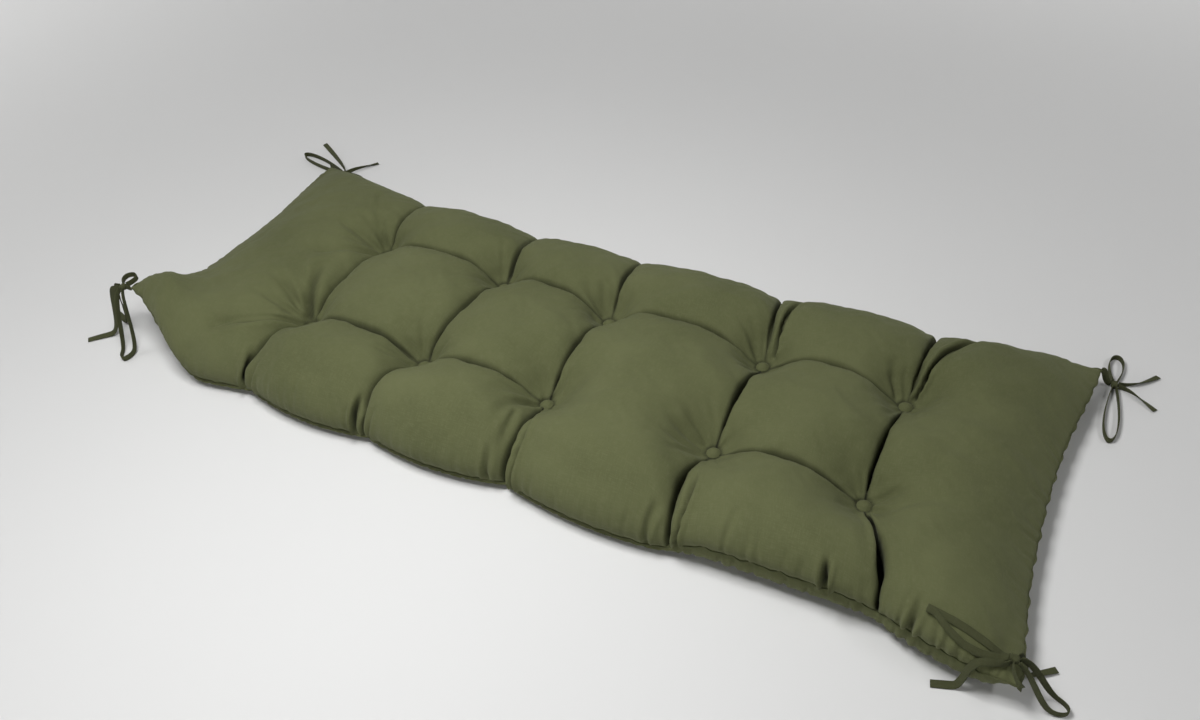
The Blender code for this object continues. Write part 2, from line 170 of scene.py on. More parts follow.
def clothMaterial(name, darker=1.0, pitch=1.0, paintsCreaseShade=False):
    material = bpy.data.materials.new(name)
    material.use_nodes = True
    tree = material.node_tree
    shader = tree.nodes["Principled BSDF"]
    tone = lambda kind: tuple(value * darker for value in cloth[kind]) + (1.0,)
    laid = result(tree, "UVMap", {"uv_map": "clothMetres"})
    placed = result(tree, "TexCoord", number=3)
    patches = result(tree, "TexNoise", None, {"Vector": placed, **cloth["mottle"]})
    apart = addNode(tree, "SeparateXYZ", None, {0: laid})
    along, across = Wire(apart.outputs[0]), Wire(apart.outputs[1])
    turn = math.tau / (cloth["thread"] * pitch)
    weave = (along * turn).sine() * (across * turn).sine()
    streaks = []
    for scale in cloth["slubScales"]:
        spread = result(tree, "Mapping", None, {"Vector": laid, "Scale": scale})
        streaks.append(result(tree, "TexNoise", None, {"Vector": spread, **cloth["slubNoise"]}))
    slubs = 0.5 * (streaks[0] + streaks[1])
    patches = (patches - cloth["mottleFrom"]) * cloth["mottleGain"]
    base = mixColours(tree, patches, tone("deep"), tone("pale"))
    fleck = result(tree, "MapRange", {"clamp": True}, {0: slubs, **cloth["slubShare"]})
    base = mixColours(tree, fleck, base, tone("slub"))
    gaps = result(tree, "MapRange", {"clamp": True}, {0: weave, **cloth["gapShade"]})
    grey = result(tree, "CombineColor", None, {0: gaps, 1: gaps, 2: gaps})
    base = mixColours(tree, 1.0, base, grey, "MULTIPLY")
    if paintsCreaseShade:   # painted shade: the base colour is darkened towards black in creases, pleats and rings round the buttons, where little light reaches
        crease = result(tree, "Attribute", {"attribute_name": "crease"}, number=2)
        base = mixColours(tree, crease * cloth["creaseShade"], base, cloth["shadeBlack"])
    relief = weave * cloth["weaveRelief"] + slubs * cloth["slubRelief"]
    bump = {"Strength": cloth["bump"], "Distance": cloth["threadHeight"], "Height": relief}
    looks = {
        "Base Color": base, "Roughness": cloth["roughness"] + (slubs - 0.5) * cloth["slubRoughness"],
        "Normal": result(tree, "Bump", None, bump),
        "Sheen Weight": cloth["sheen"], "Sheen Roughness": cloth["sheenRoughness"],
        "Sheen Tint": tone("sheenTint"), "Specular IOR Level": cloth["specular"],
    }
    for socket, value in looks.items():
        feed(shader.inputs[socket], value)
    return material


# the cover: its columns run from the front edge to the back edge, its rows along the bench.
# On it, u runs from 0 to 6 by columns and v from 0 to 3 by rows; button rows b and c lie at v 1 and 2
cover = {
    "seamHeight": 0.031, "crown": 0.0665, "topReaches": (0.085, 0.112, 0.150, 0.150),
    "underReaches": (0.044, 0.044, 0.044, 0.044), "risePowers": (0.55, 0.55, 0.72, 0.72),
    "foldReach": 0.086, "foldPower": 0.43, "foldFades": (1.5, 1.5, 1.5),
    "buttonPull": 0.42, "buttonReach": 0.052, "buttonPower": 0.62, "buttonFlat": 0.0084,
    "coneSlopes": {"b": (1.05, 0.95, 0.74, 0.68, 0.68), "c": (1.05, 1.05, 0.92, 0.74, 0.68)},
    "coneCurve": 5.0, "coneBlend": 0.0020, "coneSoftness": 0.6,
    "seat": 0.0112, "tuftRise": 0.007, "tuftReach": 0.028, "tuftDepth": 0.50,
    "liftCorner": (-0.650, -0.246), "liftReach": 0.180, "lift": (0.010, 0.062, 0.054), "toCentre": 0.0015,
    "partLength": 0.22, "partDepths": (0.12, 0.18, 0.14),
    "fineCell": 0.0010, "wideCell": 0.0025, "growth": 1.25,
    "slitWidth": 0.0023, "slitDepth": 0.0200, "slitFrom": (0.0, 0.03), "slitClear": (0.010, 0.024),
    # painted shade: a dark ring in the cloth's colour round each button, where its rim overhangs the cloth
    "ringPlace": 0.0096, "ringWidth": 0.0020, "ringShade": 0.7,
    "sideBulge": 0.0035, "bandBulge": 0.0045, "sideFade": (0.02, 0.05), "cornerFade": (0.01, 0.05),
    "frontBulge": 0.0080, "frontTuck": 0.6, "bulgeHeight": 0.052, "frontFade": (0.03, 0.07),
    "frontEnds": (0.15, 0.5),
    "seamRaised": 0.007, "seamLowered": 0.017, "seamFade": 0.6, "lowFrom": (0.25, 0.7), "lowTo": (3.9, 4.15),
    "bandFrom": (4.02, 4.22), "bandDip": (0.7, 5.0, 0.16),    # its depth, place and reach
    "scallopPower": 0.8,
    "scallops": {   # how far the parts of the front and the back edge stand out
        0: (-0.012, -0.014, -0.014, -0.012, 0.003, -0.010),
        3: (0.002, 0.010, 0.004, 0.007, 0.011, 0.002),
    },
    "columns": (
        # x front, row b, row c, back, y front, row b, row c, back, bow, depth front, middle, back
        (-0.65, -0.642, -0.636, -0.657, -0.246, -0.108, 0.068, 0.248, 0.0, 0.0, 0.0, 0.0),
        (-0.397, -0.377, -0.38, -0.395, -0.23, -0.111, 0.066, 0.201, -0.005, 0.62, 0.52, 0.38),
        (-0.188, -0.174, -0.166, -0.175, -0.234, -0.114, 0.071, 0.194, -0.01, 0.62, 0.5, 0.4),
        (0.026, 0.021, 0.018, 0.005, -0.227, -0.11, 0.062, 0.201, 0.004, 0.64, 0.46, 0.38),
        (0.257, 0.254, 0.251, 0.228, -0.234, -0.098, 0.066, 0.202, -0.009, 0.64, 0.46, 0.36),
        (0.503, 0.447, 0.445, 0.448, -0.226, -0.101, 0.07, 0.214, 0.012, 0.62, 0.5, 0.38),
        (0.657, 0.64, 0.638, 0.657, -0.248, -0.104, 0.068, 0.248, 0.0, 0.0, 0.0, 0.0),
    ),
    "slits": (
        # how sharp each column's crease is in the front, middle and back part
        (0.0, 0.0, 0.0), (1.0, 0.7, 0.6), (1.0, 0.8, 0.8), (1.0, 1.0, 0.6),
        (0.9, 1.0, 0.55), (1.0, 1.0, 0.5), (0.0, 0.0, 0.0),
    ),
    "parts": (
        # crown, depth of the fold along row b and row c, how sharp it is, how fast it fades from its buttons
        (0.82, 0.0, 0.0, 0.0, 0.0, 3.0, 3.5),
        (1.0, 0.36, 0.32, 0.6, 0.7, 1.5, 1.5),
        (1.0, 0.36, 0.32, 0.6, 0.6, 1.5, 1.5),
        (1.06, 0.0, 0.28, 0.0, 0.5, 4.0, 1.5),
        (1.02, 0.4, 0.34, 0.8, 0.6, 1.5, 1.5),
        (0.94, 0.0, 0.0, 0.0, 0.0, 4.0, 4.0),
    ),
    "sideFolds": (
        # start, end, depth, half width
        (0.262, 0.1, 0.262, 0.19, 0.24, 0.028),
        (0.462, 0.11, 0.505, 0.205, 0.28, 0.03),
        (-0.4, 0.075, -0.455, 0.15, 0.12, 0.036),
        (-0.388, -0.116, -0.474, -0.186, 0.32, 0.04),
        (-0.386, 0.062, -0.44, -0.006, 0.22, 0.036),
    ),
}


def unit(value):
    return np.clip(value, 0.0, 1.0)


def bell(distance, width):
    return np.exp(-(distance / width) ** 2)


def ripple(place, height, first, second):
    return height * (np.sin(place * first) + 0.7 * np.sin(place * second + 1.0))


def quarterRound(distance, reach, power=0.5):
    rest = 1.0 - unit(np.abs(distance) / reach)
    return (1.0 - rest * rest) ** power


def dip(distance, depth, reach, power=0.5):
    return 1.0 - depth * (1.0 - quarterRound(distance, reach, power))


def smoothStep(value, low=0.0, high=1.0):
    share = unit((value - low) / (high - low))
    return share * share * (3.0 - 2.0 * share)


def cell(value, last):
    return np.minimum(value.astype(int), last)


def smoothThrough(values, v):
    index = cell(v, 2)
    share = v - index
    line = np.array(values)
    before, start = line[np.maximum(index - 1, 0)], line[index]
    end, after = line[index + 1], line[np.minimum(index + 2, 3)]
    square, cube = share ** 2, share ** 3
    return ((2.0 * cube - 3.0 * square + 1.0) * start + (cube - 2.0 * square + share) * (end - before) / 2.0
            + (3.0 * square - 2.0 * cube) * end + (cube - square) * (after - start) / 2.0)


def foldX(column, v):
    row = cover["columns"][column]
    return smoothThrough(row[0:4], v) + row[8] * np.sin(math.pi * unit(v)) ** 2


def rowY(row, u):
    heights = np.array([column[4 + row] for column in cover["columns"]])
    index = cell(u, 5)
    share = u - index
    y = heights[index] * (1.0 - share) + heights[index + 1] * share
    if row in cover["scallops"]:
        y = y + np.array(cover["scallops"][row])[index] * np.sin(math.pi * share) ** cover["scallopPower"]
    return y


def planPlace(u, v):
    column, row = cell(u, 5), cell(v, 2)
    along, across = u - column, v - row
    count = np.arange(len(u))
    lines = np.array([foldX(number, v) for number in range(7)])
    rows = np.array([rowY(number, u) for number in range(4)])
    x = lines[column, count] * (1.0 - along) + lines[column + 1, count] * along
    y = rows[row, count] * (1.0 - across) + rows[row + 1, count] * across
    return x, y


def fromSides(x, y, u, v):
    # how far in from the front, back, left and right edge
    return y - rowY(0, u), rowY(3, u) - y, x - foldX(0, v), foldX(6, v) - x


def depthAlong(value, middles, ends, fades):
    index = cell(value, len(middles) - 1)
    share = value - index
    near = (1.0 - np.sin(math.pi * share)) ** np.array(fades)[index]
    nodes = np.where(share < 0.5, np.array(ends)[index], np.array(ends)[index + 1])
    middle = np.array(middles)[index]
    return middle + (nodes - middle) * near


def partValues(number):
    return np.array([part[number] for part in cover["parts"]])


def crownAt(u):
    place = np.clip(u - 0.5, 0.0, 5.0)
    index = cell(place, 4)
    blend = smoothStep(place - index)
    crowns = partValues(0)
    return cover["crown"] * (crowns[index] * (1.0 - blend) + crowns[index + 1] * blend)


def edgeRise(sides, reaches):
    rise = 1.0
    for away, reach, power in zip(sides, reaches, cover["risePowers"]):
        rise = rise * quarterRound(away, reach, power)
    return rise


def fromSegment(x, y, x1, y1, x2, y2):
    alongX, alongY = x2 - x1, y2 - y1
    share = unit(((x - x1) * alongX + (y - y1) * alongY) / (alongX ** 2 + alongY ** 2))
    return np.hypot(x - x1 - share * alongX, y - y1 - share * alongY)


buttonPlaces = [(letter, column, cover["columns"][column][row], cover["columns"][column][4 + row])
                for row, letter in ((1, "b"), (2, "c")) for column in range(1, 6)]


def fromButtons(x, y):
    return [np.hypot(x - buttonX, y - buttonY) for _, _, buttonX, buttonY in buttonPlaces]


def lifted(x, y, z):
    away = np.hypot(x - cover["liftCorner"][0], y - cover["liftCorner"][1])
    pull = smoothStep(1.0 - away / cover["liftReach"])
    byX, byY, byZ = cover["lift"]
    return np.stack([x + byX * pull, y + byY * pull + cover["toCentre"], z + byZ * pull], axis=1)


def bandShare(u):
    # where the front edge shows a band of the bottom panel under its seam
    depth, place, reach = cover["bandDip"]
    dipped = 1.0 - depth * smoothStep(reach - np.abs(u - place), 0.0, reach)
    return smoothStep(u, *cover["bandFrom"]) * dipped


def seamAt(u, v):
    near = (1.0 - unit(v / cover["seamFade"])) ** 2
    low = smoothStep(u, *cover["lowFrom"]) * (1.0 - smoothStep(u, *cover["lowTo"]))
    return cover["seamHeight"] + (cover["seamRaised"] * bandShare(u) - cover["seamLowered"] * low) * near


def onFront(away, u):
    # one along the front edge, nothing farther in or near the two ends
    middle = smoothStep(np.minimum(u, 6.0 - u), *cover["frontEnds"])
    return (1.0 - smoothStep(away, *cover["frontFade"])) * middle


def lower(first, second, blend):
    # the smaller of two heights, with a soft change from one to the other
    share = unit(0.5 + 0.5 * (second - first) / blend)
    return second * (1.0 - share) + first * share - blend * share * (1.0 - share)


def creaseLines(x, y, u, v):
    # how deep in the crease of a column or a row each place is
    row, column = cell(v, 2), cell(u, 5)
    lines = [(x - foldX(number, v), np.array(cover["slits"][number])[row]) for number in range(1, 6)]
    lines += [(y - rowY(number, u), partValues(2 + number)[column]) for number in (1, 2)]
    deep = np.zeros(len(u))
    for away, sharp in lines:
        deep = np.maximum(deep, sharp * bell(away, cover["slitWidth"]))
    return deep


def topPlaces(u, v):
    x, y = planPlace(u, v)
    sides = fromSides(x, y, u, v)
    full = crownAt(u) * edgeRise(sides, cover["topReaches"])
    height = full.copy()
    tuft, reach, power = cover["tuftDepth"], cover["foldReach"], cover["foldPower"]
    for number in range(1, 6):
        depths = cover["columns"][number][9:12]
        depth = depthAlong(v, depths, (depths[0], tuft, tuft, depths[2]), cover["foldFades"])
        height *= dip(x - foldX(number, v), depth, reach, power)
    for number in (1, 2):
        depth = depthAlong(u, partValues(number), (0.0,) + (tuft,) * 5 + (0.0,), partValues(4 + number))
        height *= dip(y - rowY(number, u), depth, reach, power)
    distances = fromButtons(x, y)
    clear = np.ones(len(u))
    for near in distances:
        away = np.maximum(near - cover["buttonFlat"], 0.0)
        height *= dip(away, cover["buttonPull"], cover["buttonReach"], cover["buttonPower"])
        clear *= smoothStep(near, *cover["slitClear"])
    for x1, y1, x2, y2, depth, width in cover["sideFolds"]:
        height *= dip(fromSegment(x, y, x1, y1, x2, y2), depth, width)
    slit = np.minimum(creaseLines(x, y, u, v), 1.0)
    height -= cover["slitDepth"] * slit * clear * smoothStep(full, *cover["slitFrom"])
    for near, (letter, number, _, _) in zip(distances, buttonPlaces):
        away = np.maximum(near - cover["buttonFlat"], 0.0)
        slope = cover["coneSlopes"][letter][number - 1]
        cone = cover["seat"] + away * slope + away ** 2 * cover["coneCurve"]
        height = lower(height, cone, cover["coneBlend"] + away * cover["coneSoftness"])
    height = np.maximum(height, 0.0)
    share = unit(height / cover["bulgeHeight"])
    bulge = 4.0 * share * (1.0 - share) - cover["frontTuck"] * (1.0 - share) ** 2
    y = y - cover["frontBulge"] * bulge * onFront(sides[0], u)
    return lifted(x, y, seamAt(u, v) + height)


def paintedShadeShare(u, v):
    # where each place of the top gets painted shade, and how much: deep in a crease, or in the ring round a
    # button
    x, y = planPlace(u, v)
    deep = creaseLines(x, y, u, v)
    for near in fromButtons(x, y):
        deep = np.maximum(deep, cover["ringShade"] * bell(near - cover["ringPlace"], cover["ringWidth"]))
    return deep


def bottomPlaces(u, v):
    x, y = planPlace(u, v)
    sides = fromSides(x, y, u, v)
    seam = seamAt(u, v)
    z = seam * (1.0 - edgeRise(sides, cover["underReaches"]))
    share = unit(z / seam)
    toCorner = np.minimum(sides[0], sides[1]) + np.minimum(sides[2], sides[3])
    swell = 4.0 * share * (1.0 - share) * smoothStep(toCorner, *cover["cornerFade"])
    y = y + cover["frontTuck"] * cover["frontBulge"] * share ** 2 * onFront(sides[0], u)
    plain = cover["sideBulge"]
    front = plain + (cover["bandBulge"] - plain) * bandShare(u)
    front, back, left, right = (bulge * swell * (1.0 - smoothStep(away, *cover["sideFade"]))
                                for away, bulge in zip(sides, (front, plain, plain, plain)))
    x, y = x - left + right, y - front + back
    for near in fromButtons(x, y):
        z += cover["tuftRise"] * (1.0 - quarterRound(near, cover["tuftReach"]))
    return lifted(x, y, z)


def readValues(items, key, size=1, kind=np.float32):
    values = np.zeros(len(items) * size, kind)
    items.foreach_get(key, values)
    return values


def writeValues(items, key, values):
    items.foreach_set(key, np.ascontiguousarray(values, np.float32).ravel())


def coordinates(mesh, key="co"):
    return readValues(mesh.vertices, key, 3).reshape(-1, 3).astype(float)


def setCoordinates(mesh, places):
    writeValues(mesh.vertices, "co", places)
    mesh.update()


def pointValues(mesh, *names):
    found = [readValues(mesh.attributes[name].data, "value").astype(float) for name in names]
    return found if len(names) > 1 else found[0]


def setPointValues(mesh, name, values):
    attribute = mesh.attributes.get(name) or mesh.attributes.new(name, "FLOAT", "POINT")
    writeValues(attribute.data, "value", values)


def coverPlaces(mesh):
    return pointValues(mesh, "alongCover", "acrossCover")


def layUv(mesh, flat):
    # where each point of the mesh lies on the flat cloth, in metres
    while mesh.uv_layers:
        mesh.uv_layers.remove(mesh.uv_layers[0])
    corners = readValues(mesh.loops, "vertex_index", kind=np.int32)
    writeValues(mesh.uv_layers.new(name="clothMetres").data, "uv", flat[corners])


def gatheredShares(length):
    # cell borders along one part, small beside its folds and wider in its middle
    sizes, size = [], cover["fineCell"]
    while sum(sizes) + size < length / 2.0:
        sizes.append(size)
        size = min(size * cover["growth"], cover["wideCell"])
    borders = np.concatenate([[0.0], np.cumsum(sizes + sizes[::-1])])
    return borders[:-1] / borders[-1]


def gridLine(parts):
    return np.concatenate([number + shares for number, shares in enumerate(parts)] + [[float(len(parts))]])


def fineLines():
    return (gridLine([gatheredShares(cover["partLength"])] * 6),
            gridLine([gatheredShares(depth) for depth in cover["partDepths"]]))


def edited(operator, **options):
    bpy.ops.object.mode_set(mode="EDIT")
    bpy.ops.mesh.select_all(action="SELECT")
    operator(**options)
    bpy.ops.object.mode_set(mode="OBJECT")


def layPanel(name, places, side, lines):
    along, across = lines
    panel = added(bpy.ops.mesh.primitive_grid_add, name, x_subdivisions=len(along) - 1,
                  y_subdivisions=len(across) - 1, size=1.0)
    flat = coordinates(panel.data)
    u = along[np.rint((flat[:, 0] + 0.5) * (len(along) - 1)).astype(int)]
    v = across[np.rint((flat[:, 1] + 0.5) * (len(across) - 1)).astype(int)]
    setCoordinates(panel.data, places(u, v))
    for key, values in (("alongCover", u), ("acrossCover", v), ("topSide", np.full(len(u), side))):
        setPointValues(panel.data, key, values)
    if side < 0.5:
        edited(bpy.ops.mesh.flip_normals)
    return panel


def layCover(name, lines, topAt, bottomAt):
    top = layPanel(name, topAt, 1.0, lines)
    bottom = layPanel(name + "Under", bottomAt, 0.0, lines)
    makeActive(top)
    bottom.select_set(True)
    bpy.ops.object.join()
    edited(bpy.ops.mesh.remove_doubles, threshold=1e-6)
    return top


# the filling: a coarser copy of the cover is blown up with Cloth, and its result carried to the fine one
inflate = {
    "cells": 26, "rows": (14, 20, 16), "frames": 16, "furthest": 0.008, "evened": 3, "evening": 0.6,
    "heldBelow": 0.0006, "heldRound": 0.012, "heldDepth": 0.2,
    "cloth": {
        "quality": 6, "mass": 0.25, "tension_stiffness": 12.0, "compression_stiffness": 12.0,
        "shear_stiffness": 7.2, "bending_stiffness": 0.25, "tension_damping": 8.0,
        "compression_damping": 8.0, "air_damping": 2.0, "use_pressure": True, "uniform_pressure_force": 4.0,
        "shrink_min": -0.014, "vertex_group_mass": "held",   # the cloth has some to spare
    },
}


def onSeam(u, v):
    return np.minimum(np.minimum(u, 6.0 - u), np.minimum(v, 3.0 - v)) < 1e-4


def heldPoints(piece):
    mesh = piece.data
    u, v = coverPlaces(mesh)
    held = onSeam(u, v) | (coordinates(mesh)[:, 2] < inflate["heldBelow"])
    for near in fromButtons(*planPlace(u, v)):
        held |= near < inflate["heldRound"]
    top = pointValues(mesh, "topSide") > 0.5
    held |= top & (np.abs(u - np.rint(u)) < 1e-4) & (u > 0.5) & (u < 5.5)
    for row in (1, 2):
        deep = partValues(row) > inflate["heldDepth"]
        held |= top & (np.abs(v - row) < 1e-4) & deep[cell(u, 5)]
    return held


def simulated(piece):
    before = coordinates(piece.data)
    group = piece.vertex_groups.new(name="held")
    group.add([int(index) for index in np.nonzero(heldPoints(piece))[0]], 1.0, "REPLACE")
    modifier = piece.modifiers.new("inflate", "CLOTH")
    settings = modifier.settings
    for key, value in inflate["cloth"].items():
        setattr(settings, key, value)
    settings.effector_weights.gravity = 0.0
    modifier.collision_settings.use_collision = False
    modifier.point_cache.frame_start = 1
    modifier.point_cache.frame_end = inflate["frames"]
    for number in range(1, inflate["frames"] + 1):
        scene.frame_set(number)
    shown = piece.evaluated_get(bpy.context.evaluated_depsgraph_get())
    move = coordinates(shown.data) - before
    scene.frame_set(1)
    far = np.linalg.norm(move, axis=1, keepdims=True)
    limited = inflate["furthest"] * np.tanh(far / inflate["furthest"])
    print("inflated: most move %.1f mm, mean %.2f mm" % (far.max() * 1000, far.mean() * 1000))
    return move * np.where(far > 1e-9, limited / np.maximum(far, 1e-9), 0.0)


def fillingMoves():
    # how far the filling pushes each point of a coarse grid, for the bottom and the top panel
    along = gridLine([np.arange(inflate["cells"]) / inflate["cells"]] * 6)
    across = gridLine([np.arange(count) / count for count in inflate["rows"]])
    fields = np.zeros((2, len(along), len(across), 3))
    coarse = layCover("coarseCover", (along, across), topPlaces, bottomPlaces)
    move = simulated(coarse)
    mesh = coarse.data
    u, v = coverPlaces(mesh)
    side = (pointValues(mesh, "topSide") > 0.5).astype(int)
    fields[side, np.searchsorted(along, u - 1e-4), np.searchsorted(across, v - 1e-4)] = move
    for _ in range(inflate["evened"]):   # leaves the broad swellings and takes out the small kinks
        inner = fields[:, 1:-1, 1:-1]
        around = (fields[:, :-2, 1:-1] + fields[:, 2:, 1:-1]
                  + fields[:, 1:-1, :-2] + fields[:, 1:-1, 2:]) / 4.0
        inner += (around - inner) * inflate["evening"]
    bpy.data.objects.remove(coarse, do_unlink=True)
    bpy.data.meshes.remove(mesh)
    return along, across, fields


def cubicWeights(line, value):
    # the cell that a value lies in, and the weights of the four borders round it
    index = np.clip(np.searchsorted(line, value, side="right") - 1, 0, len(line) - 2)
    share = (value - line[index]) / (line[index + 1] - line[index])
    return index, (((2.0 - share) * share - 1.0) * share / 2.0,
                   ((3.0 * share - 5.0) * share ** 2 + 2.0) / 2.0,
                   ((4.0 - 3.0 * share) * share + 1.0) * share / 2.0,
                   (share - 1.0) * share ** 2 / 2.0)


def carried(along, across, field, u, v):
    # the coarse grid's moves at the fine grid's points
    column, weightsU = cubicWeights(along, u)
    row, weightsV = cubicWeights(across, v)
    total = np.zeros((len(u), 3))
    for stepU, weightU in enumerate(weightsU):
        for stepV, weightV in enumerate(weightsV):
            here = field[np.clip(column + stepU - 1, 0, len(along) - 1),
                         np.clip(row + stepV - 1, 0, len(across) - 1)]
            total += (weightU * weightV)[:, None] * here
    return total


# creases, gathers and unevenness that the coarse grid can't carry, laid on along the cover's normals
gathers = {
    # creaseFrom, creaseRange and creaseShade: where deep pleats get painted shade in the cloth's colour, and
    # how much
    "seed": 11, "creaseFrom": 0.0025, "creaseRange": 0.0060, "creaseShade": 0.8,
    "unevenness": 0.0015, "evenRim": 0.02,
    "waves": (
        # share; along x: pitch, wobble and its pitch, phase; along y: the same
        (1.0, 47.0, 2.0, 31.0, 0.0, 53.0, 1.7, 29.0, 0.6),
        (0.35, 121.0, 2.2, 97.0, 1.0, 133.0, 1.9, 83.0, 0.0),
    ),
    "seamWave": (0.0009, 205.0, 347.0), "clearOfButton": (0.0088, 0.013),
    "restBelow": 0.012, "lowest": 0.0003,
    "banks": 0.45, "bankPlace": 1.9, "narrow": 0.7, "widening": 0.6, "fading": 0.95,   # of one pleat
    "radial": {"count": 13, "start": 0.0085, "stray": 0.35, "bow": 0.12, "length": (0.020, 0.060),
               "depth": (0.0006, 0.0022), "width": (0.0022, 0.0042)},
    "edge": {"margin": 0.06, "step": (0.011, 0.026), "slant": 0.3, "bow": 0.1, "length": (0.010, 0.034),
             "depth": (0.0003, 0.0014), "width": (0.0026, 0.0046),
             "band": (4.0, 5.6), "bandLength": 1.2, "bandDepth": 1.8},   # under the front seam
    "edges": (
        # u and v at its start, how far it runs, metres to one part, the way in, depth
        (0.0, 0.0, 6.0, 0.22, 0.0, 1.0, 1.0), (0.0, 3.0, 6.0, 0.22, 0.0, -1.0, 1.0),
        (0.0, 0.0, 3.0, 0.16, 1.0, 0.0, 1.8), (6.0, 0.0, 3.0, 0.16, -1.0, 0.0, 1.0),
    ),
    "pleats": (
        # x and y of start and end, sideways bow, depth, half width
        (-0.386, -0.118, -0.464, -0.188, 0.004, 0.008, 0.0055),
        (-0.39, -0.107, -0.49, -0.074, -0.005, 0.0042, 0.006),
        (-0.39, -0.112, -0.47, -0.116, 0.004, 0.0032, 0.005),
        (-0.386, -0.1, -0.414, -0.01, 0.003, 0.0075, 0.0075),
        (-0.39, -0.1, -0.448, -0.04, -0.003, 0.003, 0.0055),
        (-0.384, 0.06, -0.426, 0.006, 0.003, 0.006, 0.006),
        (-0.388, 0.066, -0.47, 0.068, 0.005, 0.0042, 0.006),
        (-0.385, 0.074, -0.421, 0.12, 0.004, 0.005, 0.0055),
        (-0.388, 0.07, -0.448, 0.098, -0.004, 0.0028, 0.005),
        (-0.378, -0.118, -0.42, -0.185, 0.008, 0.0034, 0.008),
        (-0.404, -0.24, -0.399, -0.192, -0.003, 0.017, 0.0034),
        (-0.384, -0.24, -0.372, -0.205, 0.003, 0.006, 0.004),
        (-0.198, -0.242, -0.197, -0.2, 0.002, 0.016, 0.003),
        (-0.176, -0.242, -0.168, -0.212, 0.002, 0.005, 0.0036),
        (0.044, -0.24, 0.036, -0.155, -0.005, 0.016, 0.003),
        (0.004, -0.24, 0.002, -0.2, -0.003, 0.005, 0.004),
        (0.268, -0.24, 0.262, -0.16, -0.005, 0.015, 0.003),
        (0.232, -0.238, 0.238, -0.2, 0.002, 0.0045, 0.004),
        (0.45, -0.238, 0.439, -0.204, 0.001, 0.02, 0.0032),
        (-0.18, -0.118, -0.205, -0.165, 0.004, 0.0024, 0.006),
        (0.011, 0.065, -0.036, 0.098, 0.004, 0.0032, 0.006),
        (0.014, 0.067, -0.012, 0.104, 0.002, 0.0026, 0.005),
        (0.016, -0.118, -0.004, -0.188, -0.009, 0.0044, 0.006),
        (0.014, -0.114, -0.04, -0.15, -0.006, 0.0022, 0.006),
        (0.01, -0.16, 0.012, -0.215, 0.004, 0.0034, 0.005),
        (0.24, -0.098, 0.184, -0.09, 0.004, 0.003, 0.006),
        (0.242, -0.09, 0.205, -0.066, 0.003, 0.0024, 0.0055),
        (0.246, -0.108, 0.212, -0.14, 0.004, 0.0018, 0.006),
        (0.456, -0.094, 0.508, -0.086, 0.004, 0.003, 0.006),
        (0.458, -0.108, 0.484, -0.124, 0.002, 0.0034, 0.005),
        (0.43, 0.08, 0.412, 0.114, 0.003, 0.0036, 0.005),
        (0.452, 0.084, 0.45, 0.134, 0.004, 0.0032, 0.005),
        (0.456, 0.068, 0.482, 0.08, 0.002, 0.0028, 0.005),
        (0.244, 0.072, 0.214, 0.11, 0.003, 0.0024, 0.0055),
        (0.457, -0.124, 0.5, -0.2, 0.002, 0.013, 0.0042),
        (0.49, -0.108, 0.552, -0.092, 0.006, 0.002, 0.008),
        (0.455, 0.088, 0.511, 0.206, 0.009, 0.013, 0.0036),
        (0.262, 0.085, 0.266, 0.188, 0.005, 0.011, 0.0034),
        (0.54, -0.24, 0.544, -0.205, 0.0, 0.006, 0.0045),
    ),
}


def addPleat(lift, x, y, pleat):
    x1, y1, x2, y2, bow, depth, width = pleat
    length = math.hypot(x2 - x1, y2 - y1)
    near = np.nonzero(np.hypot(x - (x1 + x2) / 2.0, y - (y1 + y2) / 2.0) < length / 2.0 + 5.0 * width)[0]
    alongX, alongY = (x2 - x1) / length, (y2 - y1) / length
    share = ((x[near] - x1) * alongX + (y[near] - y1) * alongY) / length
    across = -(x[near] - x1) * alongY + (y[near] - y1) * alongX
    inside = unit(share)
    away = across - bow * 4.0 * inside * (1.0 - inside)
    beyond = np.abs(share - inside) * length
    swell = width * (gathers["narrow"] + gathers["widening"] * inside)
    fade = unit(1.0 - inside ** 2 * gathers["fading"]) * bell(beyond, width)
    banks = gathers["banks"] * bell(np.abs(away) - gathers["bankPlace"] * swell, swell)
    lift[near] += depth * fade * (banks - bell(away, swell))


def radialPleats(random):
    made = []
    sizes = gathers["radial"]
    start = sizes["start"]
    for _, _, buttonX, buttonY in buttonPlaces:
        turn = random.uniform(0.0, math.tau)
        for number in range(sizes["count"]):
            stray = random.uniform(-sizes["stray"], sizes["stray"])
            angle = turn + math.tau * (number + stray) / sizes["count"]
            length = random.uniform(*sizes["length"])
            end = start + length
            made.append((buttonX + start * math.cos(angle), buttonY + start * math.sin(angle),
                         buttonX + end * math.cos(angle), buttonY + end * math.sin(angle),
                         random.uniform(-sizes["bow"], sizes["bow"]) * length,
                         random.uniform(*sizes["depth"]), random.uniform(*sizes["width"])))
    return made


def edgePleats(random):
    made = []
    sizes = gathers["edge"]
    for startU, startV, furthest, partSize, inX, inY, deeper in gathers["edges"]:
        place = sizes["margin"]
        while place < furthest - sizes["margin"]:
            u, v = np.array([startU + place * abs(inY)]), np.array([startV + place * abs(inX)])
            x, y = (value[0] for value in planPlace(u, v))
            length = random.uniform(*sizes["length"])
            depth = random.uniform(*sizes["depth"]) * deeper
            if inY > 0.0 and sizes["band"][0] < place < sizes["band"][1]:
                length, depth = length * sizes["bandLength"], depth * sizes["bandDepth"]
            slant = random.uniform(-sizes["slant"], sizes["slant"]) * length
            made.append((x, y, x + inX * length + inY * slant, y + inY * length + inX * slant,
                         random.uniform(-sizes["bow"], sizes["bow"]) * length, depth,
                         random.uniform(*sizes["width"])))
            place += random.uniform(*sizes["step"]) / partSize
    return made


